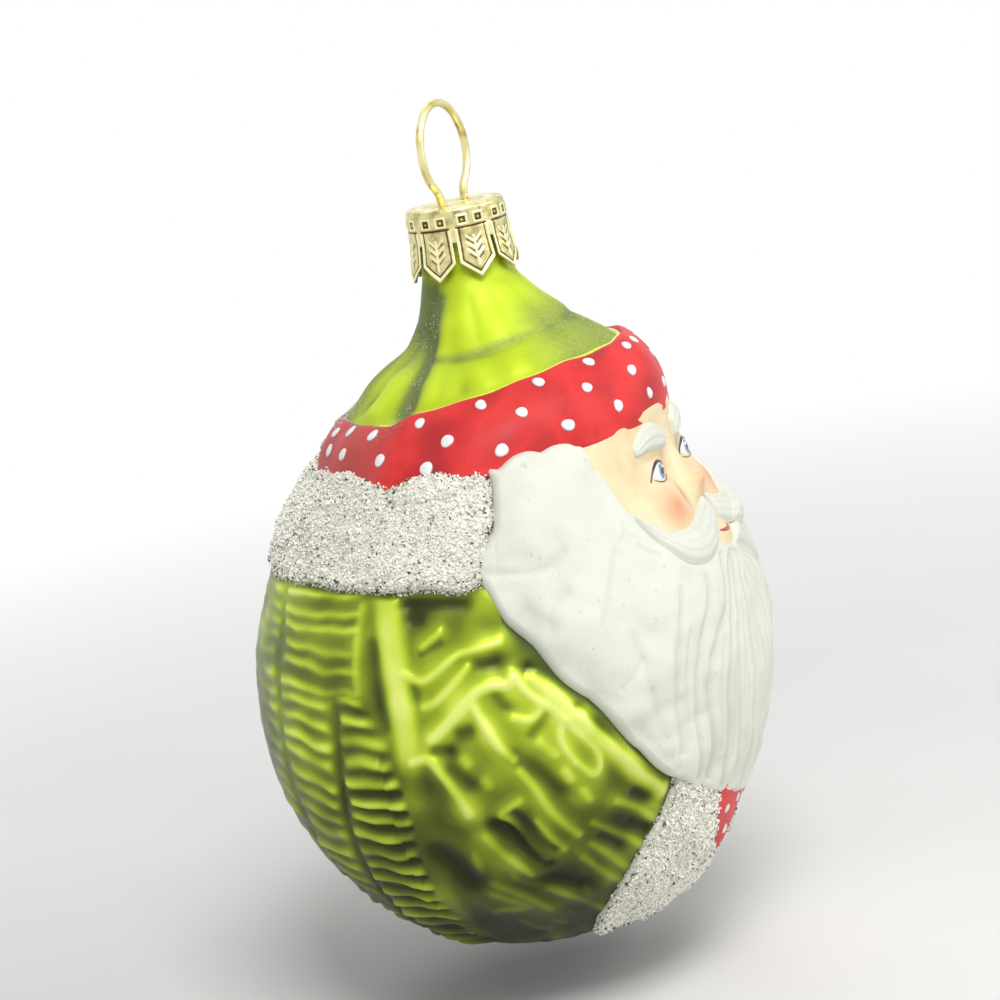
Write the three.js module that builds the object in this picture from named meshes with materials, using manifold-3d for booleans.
// Blown glass ornament: Father Christmas's head and beard on a round body, about 118 mm tall.
// Units are millimetres and degrees. +Z runs up the neck, the face looks toward -Y, and the origin
// is the hanging point, inside the top of the wire loop. Depths are measured down from the cap's
// flat top. Angles round the body start at the face and grow toward the wearer's right, -X.
import * as THREE from "three";
import { mergeVertices } from "three/addons/utils/BufferGeometryUtils.js";
import Module from "manifold-3d";

const wasm = await Module();
wasm.setup();

// Driving dimensions: the glass.
const GLASS_WALL = 0.7;
const NECK_RADIUS = 6;
const NECK_RIM_DEPTH = 0.65;
const NECK_FOOT_DEPTH = 8;
const BODY_BOTTOM_DEPTH = 104.3;
const BODY_HALF_WIDTH = 36.6;
const BODY_SET_BACK = 3.6;

// Driving dimensions: the coats on the glass. A coat starts this far off the glass.
const COAT_GAP = 0.3;
const EDGE_GAP = 0.4;
const BAND_THICKNESS = 0.6;
const GLITTER_THICKNESS = 1;
const BEARD_THICKNESS = 1;
const BEARD_SWELL = 0.7;
const FACE_THICKNESS = 0.6;
const PANEL_THICKNESS = 0.5;
const BROW_THICKNESS = 1;
const BROW_HALF_WIDTH = 1.7;
const MOUSTACHE_THICKNESS = 1.3;
const MOUSTACHE_HALF_WIDTH = 2.1;
// The trims stop this far above the glass's foot.
const TRIM_BOTTOM_RISE = 4.6;
// A tuft's rim is this thick, and its narrow ends are this wide to each side of its line.
const TUFT_RIM = 0.3;
const TUFT_END = 0.3;
const DOT_RADIUS = 0.85;
const DOT_HEIGHT = 0.35;

// Driving dimensions: the crown cap and the wire hanger.
const CAP_SHEET = 0.4;
const CAP_CLEARANCE = 0.35;
const CAP_HEIGHT = 9.6;
const CAP_FLARE = 0.8;
const CAP_EDGE_ROUND = 0.4;
const CAP_DRAFT = 0.1;
const PETALS = 8;
const PETAL_TURN = 10;
const SLIT_WIDTH = 0.5;
const SLIT_TOP_DEPTH = 4.6;
const PETAL_POINT = 2.2;
const WIRE_RADIUS = 0.55;
const WIRE_CLEARANCE = 0.25;
const LOOP_HALF_WIDTH = 5.95;
const LOOP_HALF_HEIGHT = 6.55;
const LOOP_RISE = 7.1;
const LOOP_TURN = -11;
// The oval part of the loop starts this far round from its lowest point, above a short foot
// where the wire widens out from the cap.
const LOOP_START = 36;
const LOOP_FOOT = 0.5;
const LOOP_FOOT_OUT = 0.07;
const LEG_SPREAD = 3.05;
const LEG_STRAIGHT = 6.5;
const LEG_LENGTH = 20;
const LEG_END_CLEARANCE = 0.4;

// The hanging point lies inside the top of the loop, so the cap's top is this far below it.
const CAP_TOP_Z = -(LOOP_RISE + LOOP_HALF_HEIGHT - WIRE_RADIUS);

// The outlines below are drawn on a body of these sizes, and they stretch from there to the sizes
// above. The neck keeps its own length and radius.
const DRAWN = { neckFoot: 8, bottom: 104.3, halfWidth: 36.6, setBack: 3.6 };
const LENGTH_SCALE = (BODY_BOTTOM_DEPTH - NECK_FOOT_DEPTH) / (DRAWN.bottom - DRAWN.neckFoot);
const WIDTH_SCALE = BODY_HALF_WIDTH / DRAWN.halfWidth;

// Level sections through the blown form: depth, how far back the centre lies, and the reach from
// that centre to the front, the side and the back.
const FORM_SECTIONS = [
  [11.5, 0, 7.3, 7.1, 6.6],
  [15, 0, 10.6, 9, 7.8],
  [18.6, 0, 14.6, 11.6, 9.6],
  [21.6, 0.1, 18.4, 15.4, 14.2],
  [24.6, 0.4, 21.8, 19.4, 17.8],
  [28, 0.8, 23.4, 23.2, 21.4],
  [32.5, 1.3, 24.2, 26.6, 24.4],
  [37.5, 1.9, 25, 29.6, 28.6],
  [43, 2.5, 27.2, 32, 31],
  [49.5, 3, 31.4, 34.2, 33.4],
  [57, 3.4, 34, 35.8, 35.8],
  [66, 3.6, 34.2, 36.6, 36.8],
  [75, 3.6, 32.6, 36, 36.1],
  [83.5, 3.6, 29.4, 33.4, 33],
  [91, 3.6, 25.6, 28.8, 28.4],
  [97, 3.6, 21, 22.8, 22.8],
  [101.2, 3.6, 15.2, 15.6, 15.8],
  [103.6, 3.6, 7.6, 7.8, 8],
  [104.3, 3.6, 0, 0, 0],
];
const SECTIONS = [
  ...[NECK_RIM_DEPTH, NECK_FOOT_DEPTH / 2, NECK_FOOT_DEPTH].map(neckSection),
  ...FORM_SECTIONS.map(stretchedSection),
];

// Edges of the coats as [angle, depth], the same on both sides of the face.
const BAND_TOP = outline([
  [0, 21.2], [35, 21.3], [56, 22], [78, 23.2], [103, 24.2], [112, 25.6], [180, 25.7],
]);
const BAND_BOTTOM = outline([
  [0, 31.6], [60, 31.3], [66, 31.8], [70, 33], [76, 32], [94, 32], [101, 32.9], [110, 31.4], [180, 31.1],
]);
const COLLAR_BOTTOM = outline([
  [74, 45.2], [80, 46], [95, 45.2], [110, 44.4], [130, 44], [180, 44.3],
]);
const FACE_BOTTOM = outline([
  [0, 51.6], [4, 51.2], [7, 49.6], [12, 48.4], [23, 46.6], [34, 41.6], [40, 35.6], [44, 33.2],
]);
const BEARD_BOTTOM = outline([
  [0, 86.2], [10, 85], [22, 82.6], [32, 79.9], [40, 76.4], [45, 73.3], [49, 70.2], [54, 64.6],
  [58, 61.8], [62, 59.2], [67, 53.9], [72, 50.6], [75, 46.4],
]);
const PANEL_BOTTOM = outline([
  [0, 98], [3, 97], [8, 94.2], [16, 90.4], [20, 86],
]);
const TRIM_OUTER = outline([
  [38, 77.2], [42, 82.2], [48, 86.4], [52, 90], [60, 97],
]);
const TRIM_BOTTOM_DEPTH = BODY_BOTTOM_DEPTH - TRIM_BOTTOM_RISE;
const COLLAR_FRONT_ANGLE = 75;
// The face and the beard share columns, so that the edge between them runs the same in both.
const COAT_STEP = 4.35;
const FACE_STEPS = 10;
const BEARD_STEPS = 17;
const PANEL_SIDE_ANGLE = 18.5;
const TRIM_FIRST_ANGLE = 2.5;
const TRIM_LAST_ANGLE = 60;

// Middle lines of the moustache's and the brow's halves, as [angle, depth].
const MOUSTACHE_LINE = outline([
  [1.2, 46.8], [7, 48], [13, 49.2], [19, 49.6], [25, 48.6], [30, 46.2], [34, 43.2],
]);
const BROW_LINE = outline([
  [6, 35.2], [13, 34.3], [19, 34.3], [25, 35.4],
]);

// White dots on one side of the hat band, as [angle, depth].
const BAND_DOTS = outline([
  [5, 23.3], [14, 25.6], [8, 29], [28, 23.2], [36, 25.8], [27, 28.8], [51, 23.9], [60, 26.8], [47, 29.3],
  [68, 30.5], [73, 25.1], [84, 28.5], [90, 31], [95, 26.3], [106, 30], [114, 27.3], [126, 29.4],
  [130, 27], [140, 29.3], [144, 27.5], [157, 29.4], [172, 27.4],
]);

// Soft swellings of the face: angle, depth, height, then half widths across and up.
const FACE_FORMS = [
  [0, 43.4, 2.3, 2.1, 1.9],
  [0, 39.6, 0.9, 1.5, 3.4],
  [-17, 44, 1.1, 3.8, 3],
  [17, 44, 1.1, 3.8, 3],
  [-15.5, 38.8, 0.6, 2.4, 1.6],
  [15.5, 38.8, 0.6, 2.4, 1.6],
  [0, 50.2, 0.7, 2, 0.9],
];

// Moulded relief of the bare glass on one side. Each stroke runs through [angle, depth] points.
const SIDE_RIB = {
  path: outline([[98, 45.5], [97, 53], [96, 61], [96.5, 67], [99, 72], [101, 80], [101, 88], [102, 96]]),
  height: 0.7,
  halfWidth: 2.2,
};
const BEARD_STEM = {
  path: outline([[71, 57], [66, 60.3], [62, 63], [58, 66.5], [54, 70.2], [50, 74], [45.5, 78]]),
  height: 0.75,
  halfWidth: 1.5,
};
const HAT_CREASE = {
  path: outline([[124, 12], [114, 16], [107, 20], [104, 24]]),
  height: -0.35,
  halfWidth: 2.4,
};
const VEIN_HEIGHT = 0.65;
const VEIN_HALF_WIDTH = 1.15;
const VEINS = [
  [[92, 58], [84, 53.4], [76, 51.2]],
  [[92, 61], [83, 56.8], [74, 52.8]],
  [[91, 64.6], [81, 61.2], [72, 57.8]],
  [[78, 60.6], [76, 66.2], [71, 72.6], [64, 80.4]],
  [[94, 65.4], [90, 67.5], [85, 75.4]],
  [[69.5, 65.5], [64, 72], [62, 76.6]],
  [[72, 76.9], [67, 82.8]],
  [[84, 77.8], [75, 85.8]],
  [[93, 77.6], [89, 82.4]],
  [[92, 83.6], [85, 90]],
  [[61, 83.2], [52, 87.4]],
  [[70, 88.7], [60, 93]],
  [[86, 92], [78, 97]],
].map((path) => ({ path: outline(path), height: VEIN_HEIGHT, halfWidth: VEIN_HALF_WIDTH }));
const RAISED_FORMS = [SIDE_RIB, BEARD_STEM, ...VEINS];
// Cross ribs fill the glass behind the side rib. Upright seams part them into columns, and they
// sag toward the side rib.
const CROSS_RIB_HEIGHT = 0.6;
const CROSS_RIB_DEPTHS = [
  47.2, 49.4, 51.6, 53.9, 56.2, 58.6, 61, 63.5, 66, 68.6, 71.2, 73.9, 76.6, 79.3, 81.9, 84.5, 87,
  89.4, 91.7, 93.9, 96, 97.9, 99.6,
].map(stretched);
const CROSS_RIB_SAG = 2.6;
const SAG_END_ANGLE = 140;
const SEAM_ANGLES = [103, 133, 152];
const SEAM_HALF_ANGLE = 2;
const SEAM_DEPTH = 0.2;
// The relief stays this far from the coats' edges, from the trims' sides and from the foot, and
// it rises to its full height over this length.
const RELIEF_INSET = 0.8;
const RELIEF_SIDE_INSET_ANGLE = 2;
const RELIEF_RISE = 1.8;
const RELIEF_FOOT_INSET = 2.5;

// Mesh steps. The glass's columns on one side are given as [first angle, last angle, steps], and
// the rows above its cross ribs as places that count the rows of SECTIONS.
const COLUMN_ZONES = [
  [0, 42, 6], [42, 103, 23], [103, 107, 1], [107, 131, 3], [131, 135, 2], [135, 150, 2], [150, 154, 2],
  [154, 180, 3],
];
const UPPER_ROWS = [0, 1, 2, 2.6, 3.2, 3.9, 4.6, 5.3, 6.1, 6.9, 7.7, 8.6, 9.5, 10.4, 11.2];
const FOOT_ROW_RISES = [2.2, 0.9];
const LINING_ROWS = 16;
const TUFT_COLUMNS = 12;

const radians = THREE.MathUtils.degToRad;
const FACE_SIDE_ANGLE = COAT_STEP * FACE_STEPS;
const BEARD_SIDE_ANGLE = COAT_STEP * BEARD_STEPS;

// Depth on the real body of a depth on the drawn one.
function stretched(depth) {
  return NECK_FOOT_DEPTH + (depth - DRAWN.neckFoot) * LENGTH_SCALE;
}

function outline(points) {
  return points.map(([angle, depth]) => [angle, stretched(depth)]);
}

function neckSection(depth) {
  return [depth, 0, NECK_RADIUS, NECK_RADIUS, NECK_RADIUS];
}

function stretchedSection([depth, setBack, ...reaches]) {
  const widths = reaches.map((reach) => reach * WIDTH_SCALE);
  return [stretched(depth), (setBack / DRAWN.setBack) * BODY_SET_BACK, ...widths];
}

// Value of an outline of [x, y] points at x, straight between points and level past its ends.
function lookup(points, x) {
  if (x <= points[0][0]) return points[0][1];
  for (let i = 1; i < points.length; i++) {
    const [x1, y1] = points[i];
    const [x0, y0] = points[i - 1];
    if (x <= x1) return y0 + ((y1 - y0) * (x - x0)) / (x1 - x0);
  }
  return points.at(-1)[1];
}

function wrapped(angle) {
  return Math.abs(((((angle + 180) % 360) + 360) % 360) - 180);
}

// One section of the glass at place t, which counts the rows of SECTIONS: a smooth curve runs
// through them, and past the bottom it goes on up the other side, so that the bottom is round.
function sectionAt(t) {
  const last = SECTIONS.length - 1;
  const i = Math.min(Math.max(Math.floor(t), 0), last - 1);
  const f = t - i;
  const row = (k) => {
    if (k < 0) return SECTIONS[0].map((v, c) => 2 * v - SECTIONS[1][c]);
    if (k > last) return SECTIONS[last - 1].map((v, c) => (c < 2 ? v : -v));
    return SECTIONS[k];
  };
  const [a, b, c, d] = [row(i - 1), row(i), row(i + 1), row(i + 2)];
  return b.map((_, k) => {
    const linear = c[k] - a[k];
    const square = 2 * a[k] - 5 * b[k] + 4 * c[k] - d[k];
    const cube = 3 * b[k] - a[k] - 3 * c[k] + d[k];
    return 0.5 * (2 * b[k] + linear * f + square * f ** 2 + cube * f ** 3);
  });
}

// The place t at which the glass reaches a depth.
function placeOf(depth) {
  let low = 0;
  let high = SECTIONS.length - 1;
  for (let step = 0; step < 30; step++) {
    const middle = (low + high) / 2;
    if (sectionAt(middle)[0] < depth) low = middle;
    else high = middle;
  }
  return (low + high) / 2;
}

function basePoint(angle, t) {
  const [depth, setBack, front, side, back] = sectionAt(t);
  const a = radians(angle);
  const reach =
    (front + 2 * side + back) / 4 +
    ((front - back) / 2) * Math.cos(a) +
    ((front - 2 * side + back) / 4) * Math.cos(2 * a);
  return new THREE.Vector3(-reach * Math.sin(a), setBack - reach * Math.cos(a), CAP_TOP_Z - depth);
}

// A point this far out from the smooth glass, square to it.
function liftedPoint(angle, t, lift) {
  const step = 0.01;
  const last = SECTIONS.length - 1;
  const inside = Math.min(t, last - step);
  const point = basePoint(angle, t);
  const across = basePoint(angle + 1, inside).sub(basePoint(angle - 1, inside));
  const down = basePoint(angle, inside + step).sub(basePoint(angle, Math.max(inside - step, 0)));
  return point.addScaledVector(across.cross(down).normalize(), lift);
}

// Mean radius of the glass at a depth.
function meanRadius(depth) {
  const [, , front, side, back] = sectionAt(placeOf(depth));
  return (front + 2 * side + back) / 4;
}

// Height of a round soft form at a place.
function bump(angle, depth, [atAngle, drawnDepth, height, across, up]) {
  const atDepth = stretched(drawnDepth);
  const x = (radians(angle - atAngle) * meanRadius(atDepth)) / (across * WIDTH_SCALE);
  const y = (depth - atDepth) / (up * LENGTH_SCALE);
  return height * WIDTH_SCALE * Math.exp(-(x * x) - y * y);
}

// Height of a stroke of the relief at a place: full along its path, and fading beside it.
function stroke(away, depth, radius, { path, height, halfWidth }) {
  let nearest = Infinity;
  for (let i = 1; i < path.length; i++) {
    const [[a0, d0], [a1, d1]] = [path[i - 1], path[i]];
    const run = new THREE.Vector2(radians(a1 - a0) * radius, d1 - d0);
    const gap = new THREE.Vector2(radians(away - a0) * radius, depth - d0);
    const share = THREE.MathUtils.clamp(gap.dot(run) / run.lengthSq(), 0, 1);
    nearest = Math.min(nearest, gap.addScaledVector(run, -share).length());
  }
  return height * Math.exp(-((nearest / halfWidth) ** 2));
}

// 1 where the glass is bare, 0 under the coats and near their edges.
function bareShare(away, depth) {
  const rise = (x) => THREE.MathUtils.smoothstep(x, RELIEF_INSET, RELIEF_INSET + RELIEF_RISE);
  const coat = lookup(away < COLLAR_FRONT_ANGLE ? BEARD_BOTTOM : COLLAR_BOTTOM, away);
  const besideTrim = away > TRIM_LAST_ANGLE + RELIEF_SIDE_INSET_ANGLE;
  const trim = besideTrim ? Infinity : lookup(TRIM_OUTER, away);
  const foot = BODY_BOTTOM_DEPTH - RELIEF_FOOT_INSET;
  const hat = rise(lookup(BAND_TOP, away) - depth);
  return Math.max(hat, Math.min(rise(depth - coat), rise(trim - depth), rise(foot - depth)));
}

// How much of a cross rib stands at an angle: all of it in a column, and none in a seam.
function crossRibShare(away) {
  if (away < SEAM_ANGLES[0]) return 0;
  const gaps = SEAM_ANGLES.map((seam) => Math.abs(away - seam));
  return Math.min(...gaps) < SEAM_HALF_ANGLE ? 0 : 1;
}

// Height of the relief at a place. onRib says whether a cross rib runs there.
function relief(angle, depth, onRib) {
  const away = wrapped(angle);
  const bare = bareShare(away, depth);
  if (bare === 0) return 0;
  const radius = meanRadius(depth);
  const raised = RAISED_FORMS.map((form) => stroke(away, depth, radius, form));
  const share = crossRibShare(away);
  const rib = onRib ? CROSS_RIB_HEIGHT * share : 0;
  const seam = away > SEAM_ANGLES[0] && share === 0 ? -SEAM_DEPTH : 0;
  return bare * (Math.max(rib, ...raised) + seam + stroke(away, depth, radius, HAT_CREASE));
}

// Depth of a mesh row at an angle: the rows behind the side rib sag toward it with the ribs.
function saggedDepth(angle, depth) {
  const top = CROSS_RIB_DEPTHS[0];
  const share = THREE.MathUtils.clamp((depth - top) / (CROSS_RIB_DEPTHS.at(-1) - top), 0, 1);
  const near = 1 - THREE.MathUtils.smoothstep(wrapped(angle), SEAM_ANGLES[0], SAG_END_ANGLE);
  return depth + CROSS_RIB_SAG * Math.sin(Math.PI * share) * near;
}

function faceLift(angle, depth) {
  const forms = FACE_FORMS.map((form) => bump(angle, depth, form));
  return COAT_GAP + FACE_THICKNESS + forms.reduce((sum, height) => sum + height, 0);
}

function beardLift(angle, depth) {
  const top = beardTop(angle);
  const share = (depth - top) / (lookup(BEARD_BOTTOM, Math.abs(angle)) - top);
  const body = Math.sin(Math.PI * THREE.MathUtils.clamp(share, 0, 1));
  const sideways = Math.cos((Math.PI / 2) * Math.min(Math.abs(angle) / BEARD_SIDE_ANGLE, 1));
  return COAT_GAP + BEARD_THICKNESS + BEARD_SWELL * body * Math.sqrt(sideways);
}

// Depth of a line that keeps the edge gap below an outline, measured square to the outline.
function below(outline, angle) {
  const away = wrapped(angle);
  const depth = lookup(outline, away);
  const step = 2;
  const rise = lookup(outline, away + step) - lookup(outline, away - step);
  const run = radians(2 * step) * meanRadius(depth);
  return depth + EDGE_GAP * Math.hypot(1, rise / run);
}

// The beard starts under the face, and past the face's sides under the hat band.
function beardTop(angle) {
  const besideFace = Math.abs(angle) > FACE_SIDE_ANGLE + COAT_STEP / 2;
  return below(besideFace ? BAND_BOTTOM : FACE_BOTTOM, angle);
}

// Mesh of a list of points and lists of their indices, three to a triangle.
function geometryOf(points, faces) {
  const geometry = new THREE.BufferGeometry();
  geometry.setAttribute(
    "position",
    new THREE.Float32BufferAttribute(points.flatMap((p) => [p.x, p.y, p.z]), 3),
  );
  geometry.setIndex(faces.flat());
  geometry.computeVertexNormals();
  return geometry;
}

function quad(a, b, c, d) {
  return [a, b, c, a, c, d];
}

// A slab on the glass. place(u, v) gives [angle, depth] for u, v from 0 to 1; inner and outer
// give the lift of its two faces there. A slab that goes all round has no end walls.
function slab({ columns, rows, place, inner, outer, allRound = false }) {
  const across = allRound ? columns : columns + 1;
  const points = [];
  for (const lift of [inner, outer])
    for (let i = 0; i < across; i++)
      for (let j = 0; j <= rows; j++) {
        const [angle, depth] = place(i / columns, j / rows);
        points.push(liftedPoint(angle, placeOf(depth), lift(angle, depth, i / columns, j / rows)));
      }
  const layer = across * (rows + 1);
  const at = (i, j, k) => k * layer + (i % across) * (rows + 1) + j;
  const faces = [];
  for (let i = 0; i < columns; i++)
    for (let j = 0; j < rows; j++) {
      faces.push(quad(at(i, j, 1), at(i + 1, j, 1), at(i + 1, j + 1, 1), at(i, j + 1, 1)));
      faces.push(quad(at(i, j, 0), at(i, j + 1, 0), at(i + 1, j + 1, 0), at(i + 1, j, 0)));
    }
  for (let i = 0; i < columns; i++) {
    faces.push(quad(at(i, 0, 0), at(i + 1, 0, 0), at(i + 1, 0, 1), at(i, 0, 1)));
    faces.push(quad(at(i, rows, 0), at(i, rows, 1), at(i + 1, rows, 1), at(i + 1, rows, 0)));
  }
  if (!allRound)
    for (let j = 0; j < rows; j++) {
      faces.push(quad(at(0, j, 0), at(0, j, 1), at(0, j + 1, 1), at(0, j + 1, 0)));
      faces.push(quad(at(columns, j, 0), at(columns, j + 1, 0), at(columns, j + 1, 1), at(columns, j, 1)));
    }
  return geometryOf(points, faces);
}

// Place function for a coat between two edges: top and bottom give a depth at an angle.
function between(first, last, top, bottom) {
  return (u, v) => {
    const angle = first + (last - first) * u;
    return [angle, top(angle) + (bottom(angle) - top(angle)) * v];
  };
}

const flat = (lift) => () => lift;
const along = (outline) => (angle) => lookup(outline, wrapped(angle));
const under = (outline) => (angle) => below(outline, angle);

function solidOf(geometry) {
  const bare = geometry.clone();
  bare.deleteAttribute("normal");
  bare.deleteAttribute("uv");
  const merged = mergeVertices(bare, 1e-4);
  return new wasm.Manifold(
    new wasm.Mesh({
      numProp: 3,
      vertProperties: merged.attributes.position.array,
      triVerts: new Uint32Array(merged.index.array),
    }),
  );
}

function geometryFrom(solid) {
  const mesh = solid.getMesh();
  const geometry = new THREE.BufferGeometry();
  geometry.setAttribute("position", new THREE.BufferAttribute(mesh.vertProperties, 3));
  geometry.setIndex(new THREE.BufferAttribute(mesh.triVerts, 1));
  geometry.computeVertexNormals();
  return geometry;
}

// Angles of the glass's columns, once round from the face.
function columnAngles() {
  const side = COLUMN_ZONES.flatMap(([first, last, steps]) =>
    Array.from({ length: steps }, (_, k) => first + ((last - first) * k) / steps),
  );
  const otherSide = side.slice(1).reverse().map((angle) => 360 - angle);
  return [...side, 180, ...otherSide];
}

// Rows of the glass below the hat: one on each cross rib and one midway to the next.
function ribRows() {
  const depths = CROSS_RIB_DEPTHS;
  const halfPitch = (k) => ((depths[k + 1] ?? 2 * depths[k] - depths[k - 1]) - depths[k]) / 2;
  const rows = depths.flatMap((depth, k) => [
    { depth, onRib: true },
    { depth: depth + halfPitch(k), onRib: false },
  ]);
  const first = { depth: depths[0] - halfPitch(0), onRib: false };
  const foot = FOOT_ROW_RISES.map((rise) => ({ depth: BODY_BOTTOM_DEPTH - rise, onRib: false }));
  return [first, ...rows, ...foot];
}

// The hollow glass: an outer skin with its relief, a smooth inner skin one wall inside it, and
// the open rim at the top of the neck that joins them.
function glassBody() {
  const last = SECTIONS.length - 1;
  const angles = columnAngles();
  const liningAngles = angles.filter((_, i) => i % 2 === 0);
  const points = [];
  const faces = [];
  const outerPoint = (angle, t, depth, onRib) => {
    const sagged = saggedDepth(angle, depth);
    const place = sagged === depth ? t : placeOf(sagged);
    return liftedPoint(angle, place, relief(angle, sagged, onRib));
  };
  for (const t of UPPER_ROWS)
    for (const angle of angles) points.push(outerPoint(angle, t, sectionAt(t)[0], false));
  const rows = ribRows();
  for (const { depth, onRib } of rows)
    for (const angle of angles) points.push(outerPoint(angle, placeOf(depth), depth, onRib));
  points.push(basePoint(0, last));
  const inner = points.length;
  for (let j = 0; j < LINING_ROWS; j++)
    for (const angle of liningAngles)
      points.push(liftedPoint(angle, (last * j) / LINING_ROWS, -GLASS_WALL));
  points.push(basePoint(0, last).add(new THREE.Vector3(0, 0, GLASS_WALL)));
  for (let i = 0; i < angles.length; i++) points[i].z = CAP_TOP_Z - NECK_RIM_DEPTH;
  for (let i = 0; i < liningAngles.length; i++) points[inner + i].z = CAP_TOP_Z - NECK_RIM_DEPTH;

  const cover = (start, columns, rowCount, outward) => {
    const at = (i, j) => start + j * columns + (i % columns);
    const pole = start + columns * rowCount;
    const push = (face) => faces.push(outward ? face : [...face].reverse());
    for (let i = 0; i < columns; i++) {
      for (let j = 0; j + 1 < rowCount; j++)
        push(quad(at(i, j), at(i + 1, j), at(i + 1, j + 1), at(i, j + 1)));
      push([at(i, rowCount - 1), at(i + 1, rowCount - 1), pole]);
    }
  };
  cover(0, angles.length, UPPER_ROWS.length + rows.length, true);
  cover(inner, liningAngles.length, LINING_ROWS, false);
  for (let i = 0; i < liningAngles.length; i++) {
    const near = inner + i;
    const next = inner + ((i + 1) % liningAngles.length);
    const [a, b, c] = [2 * i, 2 * i + 1, (2 * i + 2) % angles.length];
    faces.push([near, b, a], [near, c, b], [near, next, c]);
  }
  return geometryOf(points, faces);
}

// Low dome of enamel that sinks into the band by half its height.
function dot(angle, depth) {
  const geometry = new THREE.SphereGeometry(DOT_RADIUS, 6, 3);
  geometry.scale(1, DOT_HEIGHT / DOT_RADIUS, 1);
  const t = placeOf(depth);
  const lift = COAT_GAP + BAND_THICKNESS;
  const place = liftedPoint(angle, t, lift);
  const outward = place.clone().sub(liftedPoint(angle, t, 0)).normalize();
  const turn = new THREE.Quaternion().setFromUnitVectors(new THREE.Vector3(0, 1, 0), outward);
  geometry.applyQuaternion(turn);
  geometry.translate(place.x, place.y, place.z);
  return geometry;
}

function hatBand() {
  const ring = slab({
    columns: 60,
    rows: 4,
    place: between(0, 360, along(BAND_TOP), along(BAND_BOTTOM)),
    inner: flat(COAT_GAP),
    outer: flat(COAT_GAP + BAND_THICKNESS),
    allRound: true,
  });
  let solid = solidOf(ring);
  for (const [angle, depth] of BAND_DOTS)
    for (const side of [-1, 1]) solid = solid.add(solidOf(dot(side * angle, depth)));
  return geometryFrom(solid);
}

function glitterCollar() {
  const first = COLLAR_FRONT_ANGLE;
  return slab({
    columns: 42,
    rows: 4,
    place: between(first, 360 - first, under(BAND_BOTTOM), along(COLLAR_BOTTOM)),
    inner: flat(COAT_GAP),
    outer: flat(COAT_GAP + GLITTER_THICKNESS),
  });
}

function faceEnamel() {
  return slab({
    columns: 2 * FACE_STEPS,
    rows: 10,
    place: between(-FACE_SIDE_ANGLE, FACE_SIDE_ANGLE, under(BAND_BOTTOM), along(FACE_BOTTOM)),
    inner: flat(COAT_GAP),
    outer: faceLift,
  });
}

function beardEnamel() {
  return slab({
    columns: 2 * BEARD_STEPS,
    rows: 12,
    place: between(-BEARD_SIDE_ANGLE, BEARD_SIDE_ANGLE, beardTop, along(BEARD_BOTTOM)),
    inner: flat(COAT_GAP),
    outer: beardLift,
  });
}

// How full a tuft is along its length: it starts part full and ends in a point.
function tuftFullness(share) {
  const start = 0.16;
  return Math.sin(Math.PI * (start + (1 - start) * share)) ** 0.8;
}

// A tuft of hair on top of the face and the beard, leaf shaped: it runs from one angle to another
// along a depth line, and is widest and thickest along its middle.
function tuft({ side, line, halfWidth, thickness }) {
  const first = line[0][0];
  const last = line.at(-1)[0];
  const seat = (angle, depth) => Math.max(faceLift(angle, depth), beardLift(angle, depth)) + COAT_GAP;
  const place = (u, v) => {
    const share = side < 0 ? 1 - u : u;
    const away = first + (last - first) * share;
    const half = TUFT_END + halfWidth * tuftFullness(share);
    return [side * away, lookup(line, away) + half * (2 * v - 1)];
  };
  return slab({
    columns: TUFT_COLUMNS,
    rows: 4,
    place,
    inner: seat,
    outer: (angle, depth, u, v) => {
      const crown = Math.sin(Math.PI * v) * tuftFullness(side < 0 ? 1 - u : u);
      return seat(angle, depth) + TUFT_RIM + (thickness - TUFT_RIM) * crown;
    },
  });
}

// Glitter on the coat's front edge below the beard. Its top follows the front panel, then the
// beard, then its own outer edge.
function glitterTrim(side) {
  const top = (angle) => {
    const away = Math.abs(angle);
    const beard = below(BEARD_BOTTOM, away);
    const panel = away < PANEL_BOTTOM.at(-1)[0] ? below(PANEL_BOTTOM, away) : 0;
    const edge = away > TRIM_OUTER[0][0] ? lookup(TRIM_OUTER, away) : 0;
    return Math.max(beard, panel, edge);
  };
  const [first, last] = side > 0
    ? [TRIM_FIRST_ANGLE, TRIM_LAST_ANGLE]
    : [-TRIM_LAST_ANGLE, -TRIM_FIRST_ANGLE];
  return slab({
    columns: 12,
    rows: 8,
    place: between(first, last, top, () => TRIM_BOTTOM_DEPTH),
    inner: flat(COAT_GAP),
    outer: flat(COAT_GAP + GLITTER_THICKNESS),
  });
}

function frontPanel() {
  return slab({
    columns: 8,
    rows: 5,
    place: between(-PANEL_SIDE_ANGLE, PANEL_SIDE_ANGLE, under(BEARD_BOTTOM), along(PANEL_BOTTOM)),
    inner: flat(COAT_GAP),
    outer: flat(COAT_GAP + PANEL_THICKNESS),
  });
}

// Gap between two petals: a slit that opens into a wide V at the foot of the skirt.
function petalGap(outside) {
  const slit = SLIT_WIDTH / 2;
  const half = (Math.PI * outside) / PETALS;
  const rightSide = [
    [slit, -SLIT_TOP_DEPTH],
    [slit, -(CAP_HEIGHT - PETAL_POINT)],
    [half, -CAP_HEIGHT],
    [half, -CAP_HEIGHT - PETAL_POINT],
  ];
  const leftSide = rightSide.map(([x, z]) => [-x, z]).reverse();
  const outline = [...leftSide, ...rightSide].map(([x, z]) => new THREE.Vector2(x, z));
  const shape = new THREE.Shape(outline);
  const geometry = new THREE.ExtrudeGeometry(shape, { depth: outside, bevelEnabled: false });
  geometry.rotateX(Math.PI / 2);
  geometry.translate(0, -outside / 2, 0);
  return geometry;
}

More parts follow.
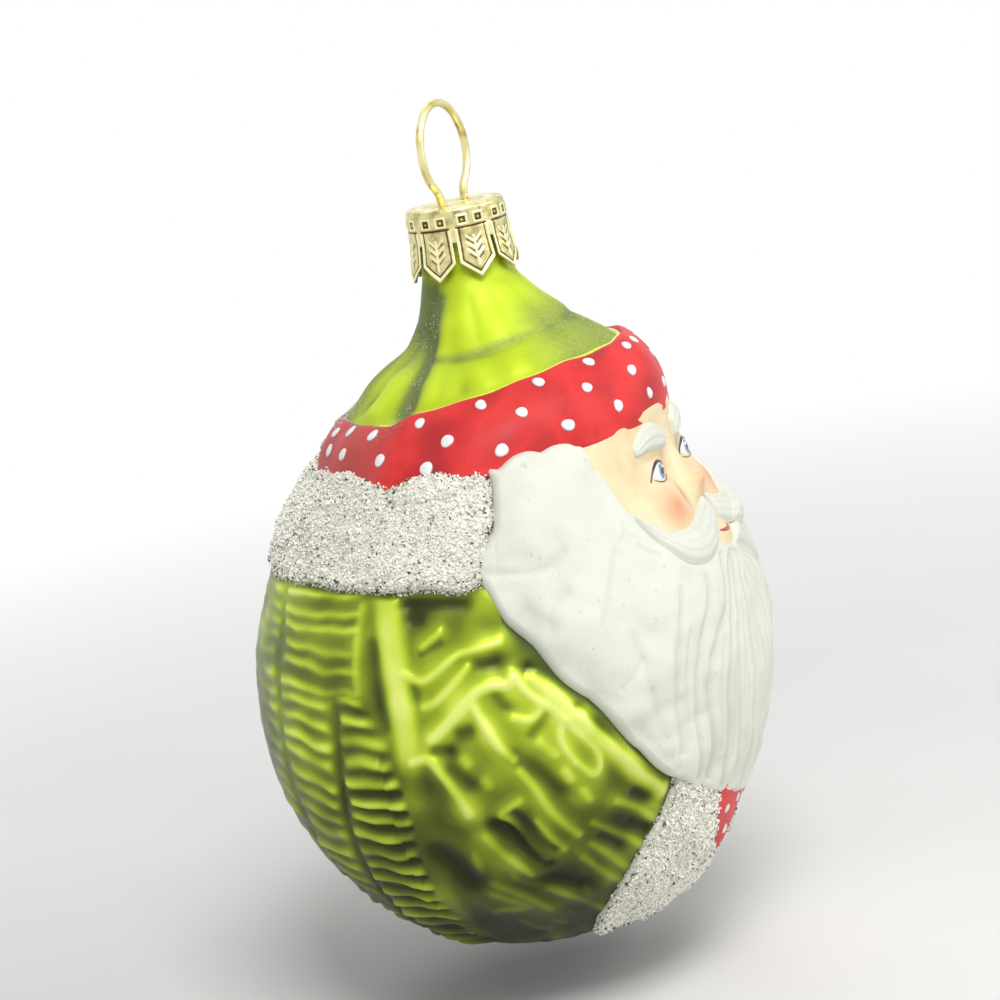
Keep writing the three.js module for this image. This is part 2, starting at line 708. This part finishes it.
// Stamped crown cap: a flat top with two holes for the wire, and a skirt of pointed petals that
// flares over the root of the neck.
function crownCap() {
  const inside = NECK_RADIUS + CAP_CLEARANCE;
  const outside = inside + CAP_SHEET;
  const profile = [
    [0, 0],
    [outside - CAP_EDGE_ROUND, 0],
    [outside, -CAP_EDGE_ROUND],
    [outside + CAP_DRAFT, -SLIT_TOP_DEPTH],
    [outside + CAP_FLARE, -CAP_HEIGHT],
    [inside + CAP_FLARE, -CAP_HEIGHT],
    [inside + CAP_DRAFT, -SLIT_TOP_DEPTH],
    [inside, -CAP_SHEET - CAP_EDGE_ROUND / 2],
    [inside - CAP_EDGE_ROUND / 2, -CAP_SHEET],
    [0, -CAP_SHEET],
  ].map(([r, z]) => new THREE.Vector2(r, z));
  const cup = new THREE.LatheGeometry(profile.reverse(), 48);
  cup.rotateX(Math.PI / 2);
  const holeRadius = WIRE_RADIUS + WIRE_CLEARANCE;
  let solid = solidOf(cup);
  for (let k = 0; k < PETALS; k++) {
    const gap = petalGap(outside + CAP_FLARE);
    gap.rotateZ(-radians(PETAL_TURN + (360 * (k + 0.5)) / PETALS));
    solid = solid.subtract(solidOf(gap));
  }
  for (const side of [-1, 1]) {
    const hole = new THREE.CylinderGeometry(holeRadius, holeRadius, 4 * CAP_SHEET, 16);
    hole.rotateX(Math.PI / 2);
    hole.translate(side * LEG_SPREAD, 0, 0);
    hole.rotateZ(radians(LOOP_TURN));
    solid = solid.subtract(solidOf(hole));
  }
  return geometryFrom(solid);
}

// One piece of wire: an oval loop whose ends run down through the cap and spread in the neck.
function hangerWire() {
  const legEnd = NECK_RADIUS - GLASS_WALL - WIRE_RADIUS - LEG_END_CLEARANCE;
  const leg = [
    [legEnd, -LEG_LENGTH],
    [(legEnd + LEG_SPREAD) / 2, -(LEG_LENGTH + LEG_STRAIGHT) / 2],
    [LEG_SPREAD, -LEG_STRAIGHT],
    [LEG_SPREAD, -LEG_STRAIGHT / 2],
    [LEG_SPREAD, 0],
    [LEG_SPREAD + LOOP_FOOT_OUT, LOOP_FOOT],
  ];
  const points = leg.map(([x, z]) => new THREE.Vector3(-x, 0, z));
  const steps = 12;
  for (let k = 0; k <= steps; k++) {
    const a = radians(LOOP_START + ((360 - 2 * LOOP_START) * k) / steps);
    const x = -LOOP_HALF_WIDTH * Math.sin(a);
    points.push(new THREE.Vector3(x, 0, LOOP_RISE - LOOP_HALF_HEIGHT * Math.cos(a)));
  }
  for (const [x, z] of leg.reverse()) points.push(new THREE.Vector3(x, 0, z));
  const section = new THREE.Shape();
  section.absarc(0, 0, WIRE_RADIUS, 0, 2 * Math.PI);
  const geometry = new THREE.ExtrudeGeometry(section, {
    steps: 76,
    curveSegments: 4,
    bevelEnabled: false,
    extrudePath: new THREE.CatmullRomCurve3(points, false, "centripetal"),
  });
  geometry.rotateZ(radians(LOOP_TURN));
  return geometry;
}

function material(color, roughness, metalness) {
  return new THREE.MeshStandardMaterial({ color, roughness, metalness });
}

const materials = {
  greenGlass: material(0x8a9a24, 0.34, 0.75),
  redEnamel: material(0xc0161c, 0.3, 0),
  whiteEnamel: material(0xe9e8e4, 0.62, 0),
  flesh: material(0xe6c08a, 0.5, 0),
  glitter: material(0xd6d3c9, 0.45, 0.25),
  gold: material(0xd8c67a, 0.32, 1),
};

const ornament = new THREE.Group();

function addMesh(parent, name, geometry, finish) {
  const mesh = new THREE.Mesh(geometry, finish);
  mesh.name = name;
  parent.add(mesh);
}

const body = new THREE.Group();
ornament.add(body);
addMesh(body, "glass_body", glassBody(), materials.greenGlass);
addMesh(body, "hat_band_enamel", hatBand(), materials.redEnamel);
addMesh(body, "glitter_collar", glitterCollar(), materials.glitter);
addMesh(body, "face_enamel", faceEnamel(), materials.flesh);
addMesh(body, "beard_enamel", beardEnamel(), materials.whiteEnamel);
addMesh(body, "front_panel_enamel", frontPanel(), materials.redEnamel);
for (const [word, side] of [["right", 1], ["left", -1]]) {
  const moustache = tuft({
    side,
    line: MOUSTACHE_LINE,
    halfWidth: MOUSTACHE_HALF_WIDTH,
    thickness: MOUSTACHE_THICKNESS,
  });
  const brow = tuft({
    side,
    line: BROW_LINE,
    halfWidth: BROW_HALF_WIDTH,
    thickness: BROW_THICKNESS,
  });
  addMesh(body, `glitter_trim_${word}`, glitterTrim(side), materials.glitter);
  addMesh(body, `moustache_${word}_enamel`, moustache, materials.whiteEnamel);
  addMesh(body, `brow_${word}_enamel`, brow, materials.whiteEnamel);
}

const top = new THREE.Group();
top.position.z = CAP_TOP_Z;
ornament.add(top);
addMesh(top, "crown_cap", crownCap(), materials.gold);
addMesh(top, "hanger_wire", hangerWire(), materials.gold);

export default ornament;
